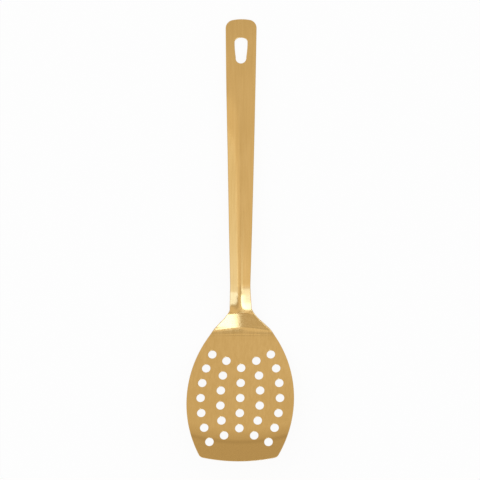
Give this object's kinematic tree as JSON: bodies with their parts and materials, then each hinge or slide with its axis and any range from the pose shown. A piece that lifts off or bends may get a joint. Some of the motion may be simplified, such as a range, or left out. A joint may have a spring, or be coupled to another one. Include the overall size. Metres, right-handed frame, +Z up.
{
  "type": "slotted turner",
  "caption": "Gold-finished steel turner with a broad round-holed blade, a cranked neck and a pressed roof-section handle with a pear-shaped hanging hole.",
  "frame": {"origin": "on the worktop it lies on, under the middle of its overall box", "axes": "+Y from the blade to the handle end, +Z up from the worktop, X across the blade"},
  "size_m": [0.0826, 0.3394, 0.0316],
  "materials": {
    "gold_steel": "satin gold-coloured coat on stainless steel"
  },
  "bodies": {
    "root": {"blade": "gold_steel", "handle": "gold_steel", "spot_weld_lower_left": "gold_steel", "spot_weld_lower_right": "gold_steel", "spot_weld_upper_left": "gold_steel", "spot_weld_upper_right": "gold_steel"}
  },
  "joints": []
}
